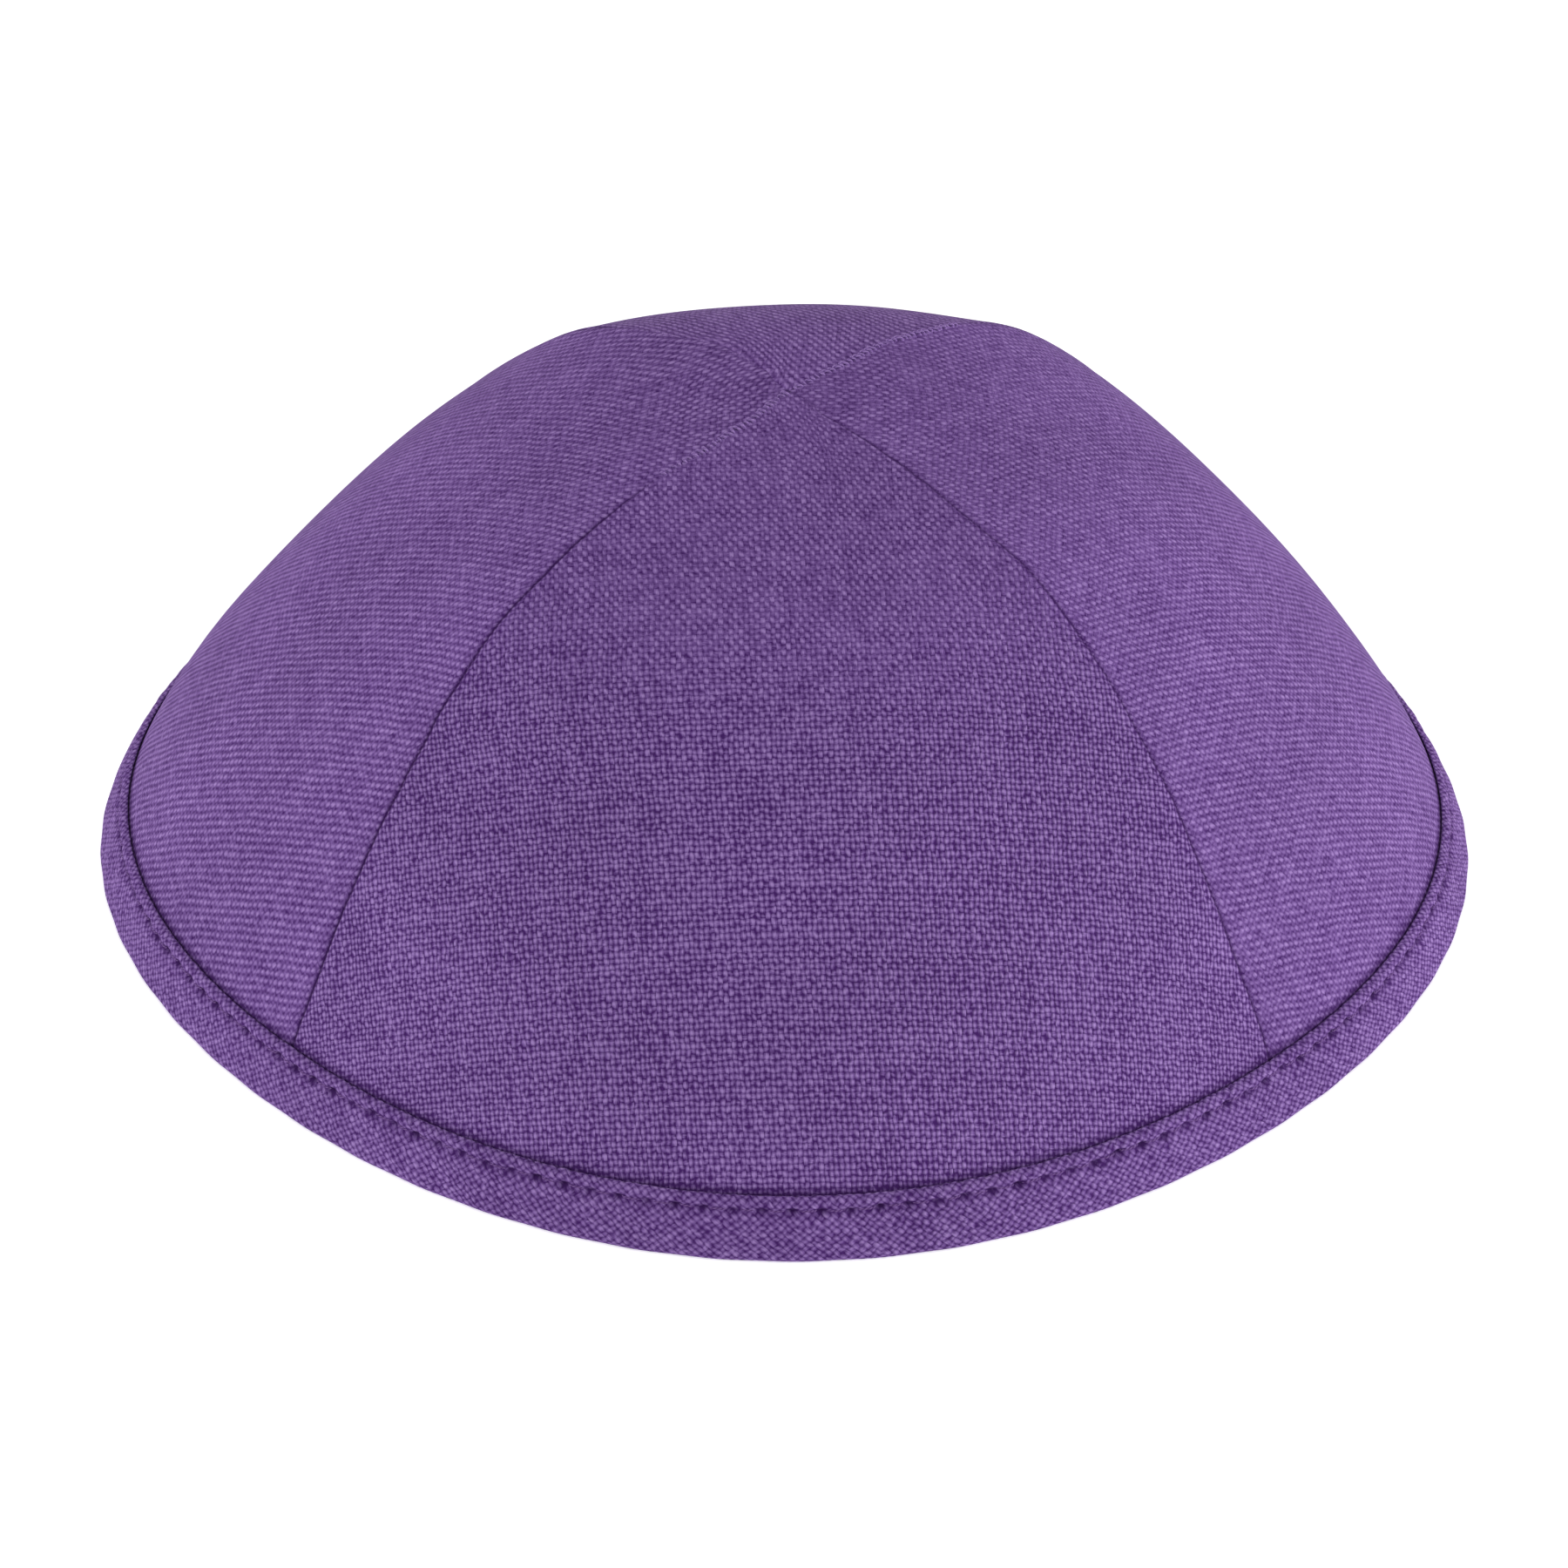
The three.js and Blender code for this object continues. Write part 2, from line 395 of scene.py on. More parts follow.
# The crown's form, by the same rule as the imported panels

crown = {
    "height": 0.064,
    "rowStep": 18,                        # degrees of lift from one width to the next
    "seamWidths": (0.0856, 0.0790, 0.0778, 0.0804, 0.0915, 0.0955),
    "middleWidths": (0.0880, 0.0804, 0.0745, 0.0730, 0.0741, 0.0805),
    "squareFrom": 36,                     # lift above which a row is four arcs that meet in corners
    "leanBack": 0.057,                    # metres higher per metre of depth, halfway up
    "leanRight": 0.031,                   # and per metre of width
    "slopeReach": 0.5,                    # degrees of lift to each side over which a slope is taken
    "topShift": (0.0014, -0.0008),        # the worn top has slipped to the right and forward
    "crossShift": (-0.0014, 0.0009),      # but the point where the seams cross has not
    "crossWidth": 0.010,
    "seamGap": 0.02 * millimetre,         # sewn panels all but touch
}
halfPanel = math.pi / 4
setOut = crown["seamGap"] / 2 / math.sin(halfPanel)


def columnCurve(widths):                  # natural cubic spline through the widths, over lift
    values = np.array(widths)
    last = len(values) - 1
    system = np.eye(last + 1)
    pull = np.zeros(last + 1)
    for i in range(1, last):
        system[i, i - 1:i + 2] = 1, 4, 1
        pull[i] = 6 * (values[i + 1] - 2 * values[i] + values[i - 1])
    bend = np.linalg.solve(system, pull)

    def width(lift):
        place = np.asarray(lift) / crown["rowStep"]
        low = np.minimum(np.floor(place).astype(int), last - 1)
        b = place - low
        a = 1 - b
        cubic = (a ** 3 - a) * bend[low] + (b ** 3 - b) * bend[low + 1]
        return a * values[low] + b * values[low + 1] + cubic / 6

    return width


seamWidth = columnCurve(crown["seamWidths"])
middleWidth = columnCurve(crown["middleWidths"])


def smoothStep(value, low, high):
    share = np.clip((value - low) / (high - low), 0, 1)
    return share * share * (3 - 2 * share)


def bump(value, place, width):            # 1 at the place, and falls off over the width
    return np.exp(-((value - place) / width) ** 2)


def profilePoint(width, lift, inset):     # distance from the axis and height, moved inwards by inset
    def at(degrees):
        angle = np.radians(degrees)
        return np.array([width(degrees) * np.cos(angle), crown["height"] * np.sin(angle)])

    out, up = at(lift)
    upper = at(np.minimum(lift + crown["slopeReach"], 90))
    along = upper - at(np.maximum(lift - crown["slopeReach"], 0))
    along = along / np.hypot(*along)
    return np.maximum(out - along[1] * inset, 0), up + along[0] * inset


def rowRadius(seam, middle, turn, lift):
    ring = seam + (middle - seam) * np.cos(2 * turn) ** 2
    square = smoothStep(lift, 0, crown["squareFrom"])
    halfChord = seam * math.sqrt(0.5)
    rise = np.maximum(middle - halfChord, 1e-9)
    bow = (halfChord ** 2 + rise ** 2) / (2 * rise)
    centre = middle - bow
    along = centre * np.cos(turn)
    arc = along + np.sqrt(along ** 2 - centre ** 2 + bow ** 2)
    return ring + (arc - ring) * square


def wallPoint(turn, lift, inset):         # distance from the axis, and height before the lean
    seam, seamHeight = profilePoint(seamWidth, lift, inset)
    middle, middleHeight = profilePoint(middleWidth, lift, inset)
    height = seamHeight + (middleHeight - seamHeight) * np.cos(2 * turn) ** 2
    return rowRadius(seam, middle, turn, lift), height


def standUp(radius, angle, direction, height):        # points of a panel that faces direction
    slip = np.multiply.outer(crown["topShift"], (height / crown["height"]) ** 3)
    slip = slip + np.multiply.outer(crown["crossShift"], bump(radius, 0, crown["crossWidth"]))
    x = radius * np.cos(angle) + setOut * math.cos(direction) + slip[0]
    y = radius * np.sin(angle) + setOut * math.sin(direction) + slip[1]
    inside = np.maximum(1 - (x ** 2 + y ** 2) / crown["seamWidths"][0] ** 2, 0)
    lean = (crown["leanBack"] * y + crown["leanRight"] * x) * inside ** 2
    return np.stack([x, y, height + lean], axis=-1)


# Crown panels: curved triangles of linen, creased where they are sewn together

panel = {
    "names": ("panel_right", "panel_back", "panel_left", "panel_front"),
    "foot": 0.0022,                       # height of the lower edge, inside the folded strip
    "wall": 1.0 * millimetre,
    "halfColumns": 64,
    "columnGrowth": 1.062,                # each column is this much wider than the one nearer the seam
    "rows": 190,
    "profileSteps": 900,                  # of the middle line, by which the cloth is laid out
    # A seam lies in a crease, with a low ridge beside it
    "creaseDepth": 0.15 * millimetre,
    "creaseWidth": 0.28 * millimetre,
    "looseCrease": 0.1,                   # share of the crease where the seam isn't tight
    "ridgeHeight": 0.12 * millimetre,
    "ridgePlace": 1.3 * millimetre,
    "ridgeWidth": 1.0 * millimetre,
    "allowance": 6.0 * millimetre,        # turned back and pressed flat inside
    "allowanceEdge": 0.5 * millimetre,
    "allowanceThickness": 0.4 * millimetre,
    "notchWidth": 0.5 * millimetre,       # of the seam's groove inside
    # Of the seam past each panel's left side, seen from above: how tight it is, and how far off the
    # top it starts to be so, in metres
    "tightness": (0.85, 0.85, 1.0, 0.6),
    "tightFrom": (0.028, 0.026, 0.018, -0.002),
    "tightOver": 0.018,                   # it is wholly so this much further out
    # Painted shade: in a seam's crease, softly beside it, and a painted shadow above the folded strip
    "lineShade": 0.75,
    "lineWidth": 0.17 * millimetre,
    "looseLine": 0.05,                    # share of the line's shade where the seam isn't tight
    "besideShade": 0.10,
    "besideWidth": 0.9 * millimetre,
    "footShade": 0.6,
    "footHeights": (6.6 * millimetre, 7.7 * millimetre),
    "mostShade": 0.9,
    # Gentle waves of the cloth: radians per metre across the panel and up it, and share
    "waviness": 0.22 * millimetre,
    "waves": ((95, 40, 1.0), (170, -70, 1.0), (30, 160, 0.7)),
    "wavyLifts": (6, 20),                 # degrees of lift over which they set in
    # Small waves of a sewn line: radians per degree of lift, and share
    "wobble": 0.12 * millimetre,
    "wobbles": ((0.16, 1.0), (0.5, 0.5), (2.1, 0.2)),
    "calmRadius": 0.006,                  # nearer the axis, a line's shift turns the cloth as it does here
    # Where each seam strays, seen from above: lift and millimetres to the left of the way out
    "strays": (
        ((0, 0), (55, 1.0), (74, 1.8), (80, 2.1), (86, 0.7), (90, 0)),
        ((0, 0), (60, -0.6), (74, -1.1), (80, -2.2), (86, -1.4), (90, 0)),
        ((33, 0), (38, -0.5), (44, -1.3), (52, -2.0), (62, -1.25), (70, -1.1), (76, -1.3), (82, -0.3),
         (86, 0.2), (90, 0)),
        ((50, 0), (62, -0.3), (72, -1.35), (79, -1.05), (86, -1.1), (90, 0)),
    ),
    "tuck": 0.05 * millimetre,            # pressed in under the strip's upper edge
    "tuckHeight": 6.5 * millimetre,
    "tuckWidth": 2.0 * millimetre,
    # Threads against the panel's middle line: lean of the upright and of the level ones
    "leans": {"panel_right": (0.10, -0.03), "panel_back": (0.05, 0.03), "panel_left": (0.03, 0.05),
              "panel_front": (0.085, -0.03)},
    # How open the weave is, and its ribs along one diagonal and the other, which are bumps and painted
    # light and shade: below, on the upper part, and where the four seams cross
    "weaves": {
        "panel_right": ((0.45, 0.0, 0.25), (0.35, 0.13, 0.12), (0.35, 0.15, 0.1)),
        "panel_back": ((1.0, 0.0, 0.0), (0.4, 0.0, 0.35), (0.4, 0.0, 0.35)),
        "panel_left": ((0.45, 0.3, 0.0), (0.4, 0.25, 0.05), (0.5, 0.1, 0.2)),
        "panel_front": ((1.0, 0.0, 0.05), (0.45, 0.05, 0.22), (0.4, 0.05, 0.2)),
    },
    "upperHeights": (44 * millimetre, 58 * millimetre),
    "crossRadii": (0.010, 0.022),
    "stretch": (0.98, 1.01),              # length of cloth per length of wall, across the panel and up it
    # Near the top the threads are pulled apart, or closer where it is negative: the upright ones, the
    # level ones, and from how many metres off the rim
    "pulled": {"panel_right": (0, 0, 0), "panel_back": (0.13, 0.3, 0.070),
               "panel_left": (0.15, 0.11, 0.082), "panel_front": (-0.03, -0.03, 0.062)},
    "pulledOver": 0.02,                   # the upright ones are wholly so this much further up
    "arch": 1.6,                          # level threads sag towards the seams, this much per metre
    "archEnd": 0.070,                     # up to this far from the rim, and rise beyond it
    "clothStart": (0.2, 0.8),             # metres between which each panel's cloth starts, at random
}
panelRandom = np.random.default_rng(7)


def columnShares():                       # from -1 at one seam to 1 at the other, dense at both
    steps = panel["columnGrowth"] ** np.arange(panel["halfColumns"])
    fromSeam = np.concatenate([[0], np.cumsum(steps)]) / steps.sum()
    return np.concatenate([fromSeam - 1, (1 - fromSeam)[-2::-1]])


def clothPlace(turn, lift):               # where each point lies on the flat cloth, in metres
    radius, height = wallPoint(turn, lift, 0 * turn)
    x = radius * np.cos(turn)
    y = radius * np.sin(turn)
    profileLift = np.linspace(0, 90, panel["profileSteps"])
    profileX, profileZ = wallPoint(0 * profileLift, profileLift, 0)
    lengths = np.hypot(np.diff(profileX), np.diff(profileZ))
    reached = np.concatenate([[0], np.cumsum(lengths)])
    tangent = np.gradient(np.stack([profileX, profileZ], axis=-1), axis=0)
    tangent /= np.linalg.norm(tangent, axis=-1, keepdims=True)
    along = np.empty(x.shape)
    aside = np.empty(x.shape)
    for row in range(x.shape[0]):         # nearest foot on the panel's middle line
        gapX = x[row][:, None] - profileX
        gapZ = height[row][:, None] - profileZ
        nearest = np.argmin(gapX ** 2 + gapZ ** 2, axis=1)
        each = np.arange(len(nearest))
        step = gapX[each, nearest] * tangent[nearest, 0] + gapZ[each, nearest] * tangent[nearest, 1]
        along[row] = reached[nearest] + step
        aside[row] = np.hypot(gapX[each, nearest], gapZ[each, nearest])
    arc = 2 * np.arctan2(aside, np.abs(y))            # a thread goes sideways in an arc from its foot
    curved = y * arc / np.maximum(np.sin(arc), 1e-9)
    return np.where(arc > 1e-6, curved, y), along


def seamShift(lift, number):              # a sewn line is never quite straight, and strays in places
    phases = np.random.default_rng(number + 1).uniform(0, 2 * math.pi, len(panel["wobbles"]))
    waves = 0
    for (pace, part), phase in zip(panel["wobbles"], phases):
        waves = waves + part * np.sin(lift * pace + phase)
    strays = panel["strays"][number]
    shift = panel["wobble"] * waves
    for (low, before), (high, after) in zip(strays[:-1], strays[1:]):
        shift = shift + (after - before) * millimetre * smoothStep(lift, low, high)
    return shift


def threadPlace(flat, lean, pulled):      # cloth coordinates along the threads, in metres
    u, v = flat[..., 0], flat[..., 1]
    sag = panel["arch"] * (1 - v / panel["archEnd"]) * u ** 2
    upright, level, start = pulled
    past = np.maximum(v - start, 0)
    spread = panel["stretch"][0] - upright * smoothStep(past, 0, panel["pulledOver"])
    across = spread * u + lean[0] * v
    along = panel["stretch"][1] * v + lean[1] * u + sag - level * past
    return np.stack([across, along], axis=-1)


def paint(mesh, name, values):            # one number or one vector for each point
    kind, part = ("FLOAT_VECTOR", "vector") if values.ndim > 1 else ("FLOAT", "value")
    mesh.attributes.new(name, kind, "POINT").data.foreach_set(part, values.ravel())


def pointList(grid):                      # its last row is one point, the top
    rows = grid[:-1].reshape(-1, *grid.shape[2:])
    return np.concatenate([rows, grid[-1:, grid.shape[1] // 2]])


def gridMesh(name, outer, inner, cloth, shade, weave):
    body = len(outer) - 1                 # rows below the top
    columns = outer.shape[1]
    each = body * columns
    index = np.arange(each).reshape(body, columns)
    a = index[:-1, :-1].ravel()
    b = index[:-1, 1:].ravel()
    c = index[1:, 1:].ravel()
    d = index[1:, :-1].ravel()
    inward = each + 1
    quads = [np.stack([a, b, c, d], 1), np.stack([a, d, c, b], 1) + inward]
    left = np.append(index[:, 0], each)
    right = np.append(index[:, -1], each)
    foot = index[0]
    for start, end in ((left[:-1], left[1:]), (right[1:], right[:-1]), (foot[1:], foot[:-1])):
        quads.append(np.stack([start, end, end + inward, start + inward], 1))
    edge = index[-1]
    top = np.full(columns - 1, each)
    outerFan = np.stack([edge[:-1], edge[1:], top], 1)
    innerFan = np.stack([edge[1:], edge[:-1], top], 1) + inward
    faces = np.concatenate(quads).tolist() + outerFan.tolist() + innerFan.tolist()
    points = np.concatenate([pointList(outer), pointList(inner)])
    mesh = bpy.data.meshes.new(name)
    mesh.from_pydata(points.tolist(), [], faces)
    corners = np.empty(len(mesh.loops), int)
    mesh.loops.foreach_get("vertex_index", corners)
    flat = np.tile(pointList(cloth), (2, 1))
    mesh.uv_layers.new(name="cloth").data.foreach_set("uv", flat[corners].ravel())
    # painted shade on the outer face, none inside
    paintedShadeAtPoints = pointList(shade)
    paint(mesh, "shade", np.concatenate([paintedShadeAtPoints, 0 * paintedShadeAtPoints]))
    paint(mesh, "weave", np.tile(pointList(weave), (2, 1)))
    mesh.shade_smooth()
    return mesh


def addPiece(name, mesh):
    piece = bpy.data.objects.new(name, mesh)
    bpy.context.collection.objects.link(piece)
    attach(piece, "root")
    return piece


def seamPull(share, radius, number):      # how tight the nearest seam is at each point
    tightness, start = (
        np.where(share > 0, panel[key][number], panel[key][number - 1])
        for key in ("tightness", "tightFrom")
    )
    return tightness * smoothStep(radius, start, start + panel["tightOver"])


def seamShade(sewn, fromSeam, height):    # painted shade in the seams' creases, and a painted shadow just above the strip
    loose = panel["looseLine"]
    shade = panel["lineShade"] * (loose + (1 - loose) * sewn) * bump(fromSeam, 0, panel["lineWidth"])
    shade = shade + panel["besideShade"] * sewn * bump(fromSeam, 0, panel["besideWidth"])
    shade = shade + panel["footShade"] * (1 - smoothStep(height, *panel["footHeights"]))
    return np.minimum(shade, panel["mostShade"])


def softWaves(flat, share, lift):         # of worn cloth, none at the seams and the foot
    phases = panelRandom.uniform(0, 2 * math.pi, 4)   # the first three are used
    waves = 0
    for (across, up, part), phase in zip(panel["waves"], phases):
        waves = waves + part * np.sin(flat[..., 0] * across + flat[..., 1] * up + phase)
    return panel["waviness"] * (1 - share ** 4) * smoothStep(lift, *panel["wavyLifts"]) * waves / 2


def sewCrown(finish):
    share = columnShares()
    footLift = math.degrees(math.asin(panel["foot"] / crown["height"]))
    lift, share = np.meshgrid(np.linspace(footLift, 90, panel["rows"]), share, indexing="ij")
    turn = share * halfPanel
    radius, height = wallPoint(turn, lift, 0 * turn)
    fromSeam = radius * np.sin(halfPanel - np.abs(turn))
    flat = np.stack(clothPlace(turn, lift), axis=-1)
    print("crown: cloth laid out,", round(float(flat[..., 1].max()), 4), "m from rim to top")

    pressed = 1 - smoothStep(fromSeam, panel["allowance"] - panel["allowanceEdge"], panel["allowance"])
    notch = 1 - bump(fromSeam, 0, panel["notchWidth"])
    inside = panel["wall"] + panel["allowanceThickness"] * pressed * notch
    tuck = panel["tuck"] * bump(height, panel["tuckHeight"], panel["tuckWidth"])

    for number, name in enumerate(panel["names"]):
        # Creased at the seams, less so near the top, where four seams meet and lie flat
        sewn = seamPull(share, radius, number)
        depth = panel["creaseDepth"] * (panel["looseCrease"] + (1 - panel["looseCrease"]) * sewn)
        crease = depth * bump(fromSeam, 0, panel["creaseWidth"])
        ridge = panel["ridgeHeight"] * sewn * bump(fromSeam, panel["ridgePlace"], panel["ridgeWidth"])
        ridge = ridge * smoothStep(height, panel["tuckHeight"], 2 * panel["tuckHeight"])
        # painted shade in the creases, and a painted shadow above the strip
        shade = seamShade(sewn, fromSeam, height)

        direction = 2 * halfPanel * number
        soft = softWaves(flat, share, lift)
        shift = seamShift(lift, number) * smoothStep(share, 0, 1)
        shift = shift + seamShift(lift, (number - 1) % 4) * smoothStep(-share, 0, 1)
        angle = direction + turn + shift / np.maximum(radius, panel["calmRadius"])
        outerRadius, outerHeight = wallPoint(turn, lift, crease - ridge + soft + tuck)
        innerRadius, innerHeight = wallPoint(turn, lift, inside + soft)
        outer = standUp(outerRadius, angle, direction, outerHeight)
        inner = standUp(innerRadius, angle, direction, innerHeight)
        threads = threadPlace(flat, panel["leans"][name], panel["pulled"][name])
        threads = threads + panelRandom.uniform(*panel["clothStart"], 2)
        upper = smoothStep(outerHeight, *panel["upperHeights"])[..., None]
        nearCross = 1 - smoothStep(radius, *panel["crossRadii"])[..., None]
        low, high, cross = (np.array(weave) for weave in panel["weaves"][name])
        weave = low + (high - low) * upper + (cross - high) * nearCross
        mesh = gridMesh(name + "_linen", outer, inner, threads, shade, weave)
        mesh.materials.append(finish)
        piece = addPiece(name + "_linen", mesh)
        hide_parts(name)
    print("crown: four panels sewn")


# The strip folded over the rim, cut on the bias

strip = {                                 # lengths in millimetres
    "section": (                          # height above the rest plane, and reach from the crown's face
        (0.0, 0.6), (0.3, 1.15), (0.9, 1.35), (3.3, 1.25), (5.4, 0.98), (5.9, 1.0), (6.4, 0.85),
        (6.6, 0.45), (6.45, 0.09), (4.2, 0.09), (1.7, 0.3), (1.2, -0.1), (1.2, -1.1), (1.7, -1.55),
        (4.0, -1.55), (6.4, -1.55), (6.9, -1.9), (6.9, -2.4), (6.4, -2.7), (4.0, -2.7), (1.0, -2.65),
        (0.3, -2.3), (0.0, -1.7),
    ),
    # Steps from each point to the next
    "fine": (2, 3, 5, 6, 6, 4, 3, 2, 1, 1, 1, 1, 1, 1, 1, 2, 3, 3, 4, 4, 3, 2, 1),
    "outerReach": (0.5, 0.8),             # outwards of this is the outer leg
    "innerReach": (2.0, 2.5),             # and inwards of this is the inner one
    "innerShare": 0.7,                    # of the dips and puffs
    "stitchHeight": 5.4,
    "lineWander": 0.07,                   # of the stitches, up and down
    "stitches": 162,
    "stationsPerStitch": 8,
    "holeDepth": 0.45,
    "holeShares": (0.45, 1.15),           # single holes have between these shares of that depth
    "holeWidth": 0.26,
    "holeLength": 0.18,                   # as a share of a stitch
    "channel": 0.12,
    "channelWidth": 0.4,
    "puff": 0.11,
    "puffs": ((0.8, 0.6, 1.0), (-1.1, 0.9, 0.5)),     # place above the stitches, width and share
    "roll": 0.05,                         # slow waves round the rim
    "rollPaces": (0.37, 0.21),            # turns of these in a stitch, and in a millimetre upwards
    "edgeBumps": 0.07,                    # of its upper edge, where threads turn over
    "edgeHeights": (5.7, 6.4),            # where these set in
    "edgeReach": (0, 0.5),
    "joinAngle": 1.75,                    # where the ends overlap, at the back
    "joinRadius": 88,
    "joinSlant": 0.9,                     # sideways for each millimetre above the middle
    "joinMiddle": 4,
    "joinStart": (-0.25, 0.25),
    "joinEnd": (9, 10.5),
    "joinStep": 0.32,
    # Painted shade in the needle holes and along the stitches' channel
    "holeShade": 1.1,
    "holeShadeWidth": 0.30,
    "channelShade": 0.22,
    "mostShade": 0.95,
    "weave": (0.8, 0.0, 0.0),             # how open it is, and its ribs
    "warpPitch": 0.665 * millimetre,      # these two in metres
    "weftPitch": 0.78 * millimetre,
    "pull": 1.3,                          # threads stand this much closer across the strip than along it
    "clothStart": 0.1,                    # metres
    "clothShift": 0.3,
    "seatHeights": (1, 6.2),              # the part of each leg that stitches sit on
    "wholeLeg": 0.99,
}
stripRandom = np.random.default_rng(11)


def sectionCurve():                       # a smooth closed line through the section's points
    rows = np.array(strip["section"])
    points = []
    for i, count in enumerate(strip["fine"]):
        before, start, end, after = (rows[(i + k) % len(rows)] for k in (-1, 0, 1, 2))
        for t in np.arange(count) / count:
            linear = (end - before) * t + (2 * before - 5 * start + 4 * end - after) * t ** 2
            cubic = (3 * start - before - 3 * end + after) * t ** 3
            points.append(start + (linear + cubic) / 2)
    return np.array(points)


def crownRadiusAt(height, turn):          # of the crown's outer face at a height in metres
    lift = np.degrees(np.arcsin(np.clip(height / crown["height"], 0, 1)))
    seam = profilePoint(seamWidth, lift, 0 * lift)[0]
    middle = profilePoint(middleWidth, lift, 0 * lift)[0]
    return rowRadius(seam, middle, turn, lift) + setOut


def foldStrip(finish):
    section = sectionCurve()
    height, reach = section[:, 0], section[:, 1]
    around = np.roll(section, -1, axis=0) - section
    reached = np.concatenate([[0], np.cumsum(np.hypot(around[:, 0], around[:, 1]))])
    stations = strip["stitches"] * strip["stationsPerStitch"]
    angle = 2 * math.pi * np.arange(stations) / stations
    phase = np.arange(stations) / strip["stationsPerStitch"]
    nearest = np.round(phase).astype(int) % strip["stitches"]
    depths = stripRandom.uniform(*strip["holeShares"], strip["stitches"])
    rises = stripRandom.normal(0, strip["lineWander"], strip["stitches"])
    stitchLine = strip["stitchHeight"] + np.interp(phase, np.arange(strip["stitches"]), rises)

    # Sewn through: a shallow channel, a dip at each needle hole, and the cloth puffed up between
    off = (phase + 0.5) % 1 - 0.5
    hole = bump(off, 0, strip["holeLength"]) * depths[nearest]
    up = height[None, :] - stitchLine[:, None]
    dip = strip["channel"] * bump(up, 0, strip["channelWidth"])
    dip = dip + strip["holeDepth"] * hole[:, None] * bump(up, 0, strip["holeWidth"])
    puff = 0
    for place, width, part in strip["puffs"]:
        puff = puff + part * strip["puff"] * (0.5 - hole[:, None]) * bump(up, place, width)
    alongPace, upPace = strip["rollPaces"]
    roll = strip["roll"] * np.sin(2 * math.pi * (phase[:, None] * alongPace + height[None, :] * upPace))
    outerSide = smoothStep(reach, *strip["outerReach"])[None, :]
    innerSide = smoothStep(-reach, *strip["innerReach"])[None, :]
    swell = (puff - dip + roll) * outerSide - strip["innerShare"] * (puff - dip) * innerSide

    # The ends overlap at the back, cut along the threads
    past = (angle[:, None] - strip["joinAngle"]) * strip["joinRadius"]
    past = past + strip["joinSlant"] * (height[None, :] - strip["joinMiddle"])
    lap = smoothStep(past, *strip["joinStart"]) * (1 - smoothStep(past, *strip["joinEnd"]))
    swell = swell + strip["joinStep"] * lap * (outerSide - innerSide)
    turn = angle - 2 * halfPanel * np.round(angle / (2 * halfPanel))
    edge = stripRandom.normal(0, strip["edgeBumps"], stations)
    upperEdge = smoothStep(height, *strip["edgeHeights"]) * smoothStep(reach, *strip["edgeReach"])
    z = (height[None, :] + edge[:, None] * upperEdge[None, :]) * millimetre
    radius = crownRadiusAt(z, turn[:, None]) + (reach[None, :] + swell) * millimetre
    points = np.stack([radius * np.cos(angle)[:, None], radius * np.sin(angle)[:, None], z], axis=-1)
    print("strip: folded,", round(float(reached[-1]), 1), "mm round its section")

    count = len(height)
    a = np.arange(stations * count).reshape(stations, count)
    b = np.roll(a, -1, axis=0)
    c = np.roll(b, -1, axis=1)
    d = np.roll(a, -1, axis=1)
    faces = np.stack([a.ravel(), b.ravel(), c.ravel(), d.ravel()], 1)
    mesh = bpy.data.meshes.new("binding")
    mesh.from_pydata(points.reshape(-1, 3).tolist(), [], faces.tolist())

    # Cloth coordinates turn 45 degrees against the strip, whose threads were pulled closer across it
    length = 2 * math.pi * float(radius.mean())
    s = np.arange(stations + 1) / stations * length + strip["clothStart"]
    t = strip["pull"] * reached * millimetre + strip["clothStart"]
    station, corner = (grid.ravel() for grid in np.indices((stations, count)))
    alongStrip = np.stack([s[station], s[station + 1], s[station + 1], s[station]], 1)
    acrossStrip = np.stack([t[corner], t[corner], t[corner + 1], t[corner + 1]], 1)
    bias = [alongStrip + acrossStrip, alongStrip - acrossStrip + strip["clothShift"]]
    bias = np.stack(bias, -1) * math.sqrt(0.5)
    mesh.uv_layers.new(name="cloth").data.foreach_set("uv", bias.ravel())
    # Painted shade in the needle holes and along the channel
    holeShade = strip["holeShade"] * hole[:, None] * bump(up, 0, strip["holeShadeWidth"])
    channelShade = strip["channelShade"] * bump(up, 0, strip["channelWidth"])
    shade = np.clip(holeShade * (outerSide + innerSide) + channelShade, 0, strip["mostShade"])
    paint(mesh, "shade", shade.ravel())
    paint(mesh, "weave", np.tile(np.array(strip["weave"]), (stations * count, 1)))
    mesh.shade_smooth()
    mesh.materials.append(finish)
    piece = addPiece("rim_binding_linen", mesh)
    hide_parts("rim_binding")

    # Seats of the stitches on both legs, halfway between two needle holes
    half = strip["stationsPerStitch"] // 2
    middles = np.arange(half, stations, strip["stationsPerStitch"])
    seats = []
    low, high = strip["seatHeights"]
    for side, way in ((outerSide[0], 1), (innerSide[0], -1)):
        rows = np.flatnonzero((side > strip["wholeLeg"]) & (height > low) & (height < high))
        rows = rows[np.argsort(height[rows])]
        for station in middles:
            out = np.interp(stitchLine[station], height[rows], radius[station, rows])
            facing = np.array([math.cos(angle[station]), math.sin(angle[station]), 0])
            seat = out * facing + [0, 0, stitchLine[station] * millimetre]
            seats.append((seat, way * facing, np.array([-facing[1], facing[0], 0])))
    return seats


# Stitches: short bent threads, each on its seat

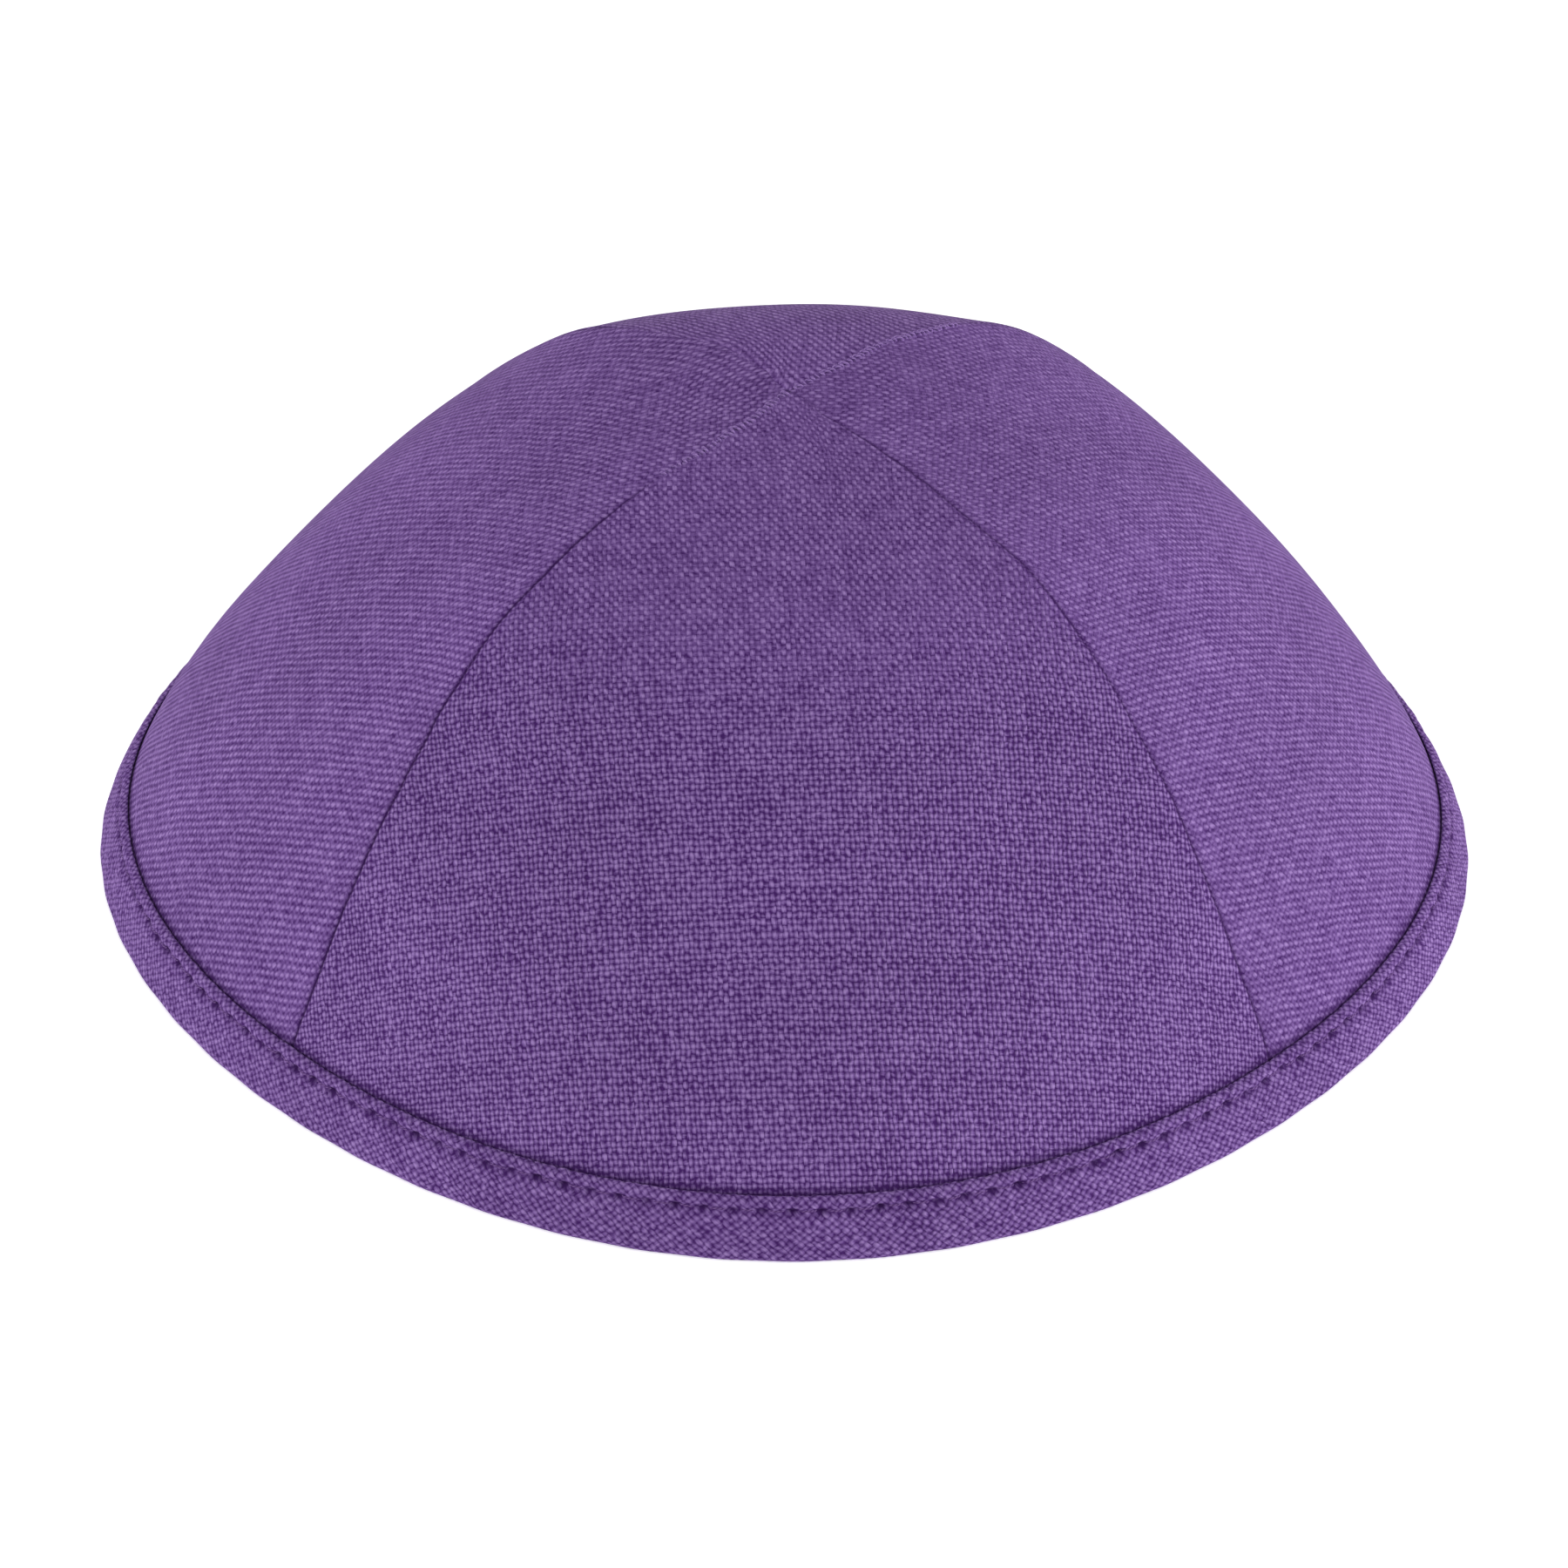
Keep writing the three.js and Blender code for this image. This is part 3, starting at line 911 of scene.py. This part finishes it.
class Needlework(Nodes):                  # geometry nodes with named inputs
    def __init__(self, name, inputs):
        super().__init__(bpy.data.node_groups.new(name, "GeometryNodeTree"))
        face = self.tree.interface
        face.new_socket("Geometry", in_out="OUTPUT", socket_type="NodeSocketGeometry")
        for label, kind in inputs.items():
            face.new_socket(label, in_out="INPUT", socket_type="NodeSocket" + kind)
        self.given = self.node("NodeGroupInput", {}, {})

    def attribute(self, name):
        settings = {"data_type": "FLOAT_VECTOR"}
        return self.node("GeometryNodeInputNamedAttribute", settings, {"Name": name}, "Attribute")

    def store(self, geometry, name, value):
        sockets = {"Geometry": geometry, "Name": name, "Value": value}
        return self.node("GeometryNodeStoreNamedAttribute", {"data_type": "FLOAT"}, sockets)

    def end(self, geometry):
        self.node("NodeGroupOutput", {}, {"Geometry": geometry})


def stitchTree():
    numbers = dict.fromkeys(("Length", "Radius", "Lift", "Plunge", "Unevenness", "Turn"), "Float")
    work = Needlework("stitch_row", {
        "Seats": "Geometry", **numbers, "Seed": "Int", "Thread": "Material",
    })
    length = work.given.output("Length")
    lift = work.given.output("Lift")
    plunge = work.given.output("Plunge")
    line = work.node("GeometryNodeCurvePrimitiveBezierSegment", {"mode": "POSITION"}, {
        "Resolution": 8,
        "Start": work.vector(length * -0.5, 0, -plunge),
        "Start Handle": work.vector(length * -0.42, 0, lift),
        "End Handle": work.vector(length * 0.42, 0, lift),
        "End": work.vector(length * 0.5, 0, -plunge),
    })
    ring = work.node("GeometryNodeCurvePrimitiveCircle", {"mode": "RADIUS"}, {
        "Resolution": 6, "Radius": work.given.output("Radius"),
    })
    spline = work.node("GeometryNodeSplineParameter", {}, {})
    line = work.store(line, "alongThread", spline.output("Length"))
    ring = work.store(ring, "aroundThread", spline.output("Factor"))
    stitch = work.node("GeometryNodeCurveToMesh", {}, {
        "Curve": line, "Profile Curve": ring, "Fill Caps": True,
    })

    # Each lies along its seam, a little turned, longer or shorter
    facing = work.node("FunctionNodeAxesToRotation", {"primary_axis": "X", "secondary_axis": "Z"}, {
        "Primary Axis": work.attribute("along"), "Secondary Axis": work.attribute("outward"),
    })
    seed = work.given.output("Seed")
    turn = work.given.output("Turn")
    spin = work.node("FunctionNodeRandomValue", {"data_type": "FLOAT"}, {2: -turn, 3: turn, "Seed": seed}, 1)
    spun = work.node("FunctionNodeEulerToRotation", {}, {"Euler": work.vector(0, 0, spin)})
    facing = work.node("FunctionNodeRotateRotation", {"rotation_space": "LOCAL"}, {
        "Rotation": facing, "Rotate By": spun,
    })
    uneven = work.given.output("Unevenness")
    size = work.node("FunctionNodeRandomValue", {"data_type": "FLOAT_VECTOR"}, {
        0: 1 - uneven, 1: 1 + uneven, "Seed": seed + 1,
    })
    row = work.node("GeometryNodeInstanceOnPoints", {}, {
        "Points": work.given.output("Seats"), "Instance": stitch, "Rotation": facing, "Scale": size,
    })
    row = work.node("GeometryNodeRealizeInstances", {}, {"Geometry": row})
    row = work.node("GeometryNodeSetShadeSmooth", {}, {"Geometry": row})
    row = work.node("GeometryNodeSetMaterial", {}, {
        "Geometry": row, "Material": work.given.output("Thread"),
    })
    work.end(row)
    return work.tree


def sewRow(name, tree, seats, values):    # each value goes to the input of its name
    places, outwards, alongs = (np.array(column) for column in zip(*seats))
    points = bpy.data.meshes.new(name + "_seats")
    points.from_pydata(places.tolist(), [], [])
    for label, column in (("outward", outwards), ("along", alongs)):
        points.attributes.new(label, "FLOAT_VECTOR", "POINT").data.foreach_set("vector", column.ravel())
    holder = bpy.data.objects.new(name + "_seats", points)
    bpy.context.collection.objects.link(holder)
    modifier = holder.modifiers.new("stitches", "NODES")
    modifier.node_group = tree
    for item in tree.interface.items_tree:
        if item.in_out == "INPUT" and item.name.lower() in values:
            modifier[item.identifier] = values[item.name.lower()]
    graph = bpy.context.evaluated_depsgraph_get()
    mesh = bpy.data.meshes.new_from_object(holder.evaluated_get(graph), depsgraph=graph,
                                           preserve_all_data_layers=True)
    holder.modifiers.remove(modifier)
    bpy.data.objects.remove(holder)
    print("stitches:", name, len(places), "stitches,", len(mesh.polygons), "faces")
    return mesh


stitches = {
    "length": 2.3 * millimetre,
    "radius": 0.13 * millimetre,
    "lift": 0.03 * millimetre,            # of the thread's middle above the cloth
    "plunge": 0.35 * millimetre,          # of its ends into the needle holes
    "unevenness": 0.06,
    "turn": 0.04,                         # radians
    "seed": 3,
}
tips = {                                  # thread loops that show where the panels' folds meet
    "length": 0.95 * millimetre,
    "radius": 0.19 * millimetre,
    "lift": 0.16 * millimetre,
    "plunge": 0.12 * millimetre,
    "unevenness": 0.35,
    "turn": 0.5,
    "seed": 5,
    "spacing": 0.78 * millimetre,
    "rows": (("panel_left", 0.0008, 0.0225), ("panel_right", 0.0008, 0.0300)),   # from and to, off the top
    "lifts": (60, 89.9),                  # degrees between which these are looked for
    "steps": 400,
}


def tipSeats():                           # along one of the two seams that cross at the top
    seats = []
    for name, start, end in tips["rows"]:
        number = panel["names"].index(name)
        direction = 2 * halfPanel * number
        lift = np.linspace(*tips["lifts"], tips["steps"])
        turn = np.full(tips["steps"], halfPanel)
        radius, height = wallPoint(turn, lift, 0 * turn)
        angle = direction + turn + seamShift(lift, number) / np.maximum(radius, panel["calmRadius"])
        line = standUp(radius, angle, direction, height)
        downhill = np.gradient(line, axis=0)
        downhill /= np.linalg.norm(downhill, axis=1, keepdims=True)
        for away in np.arange(start, end, tips["spacing"]):
            spot = int(np.argmin(np.abs(radius - away)))
            side = np.array([-math.sin(angle[spot]), math.cos(angle[spot]), 0])
            seats.append((line[spot], np.cross(side, downhill[spot]), side))
    return seats


placeCamera()
layFloor(floorFinish())
hangLights()
print("studio: camera, floor and lights placed")
sewCrown(linenFinish("crown_linen", linen))
stripLinen = {**linen, "warpPitch": strip["warpPitch"], "weftPitch": strip["weftPitch"]}
stripSeats = foldStrip(linenFinish("binding_linen", stripLinen))
tree = stitchTree()
sewing = threadFinish("sewing_thread", thread)
mesh = sewRow("binding_stitches", tree, stripSeats, {**stitches, "thread": sewing})
addPiece("binding_stitches", mesh)
frayed = threadFinish("frayed_thread", frayedThread)
mesh = sewRow("seam_thread_tips", tree, tipSeats(), {**tips, "thread": frayed})
addPiece("seam_thread_tips", mesh)
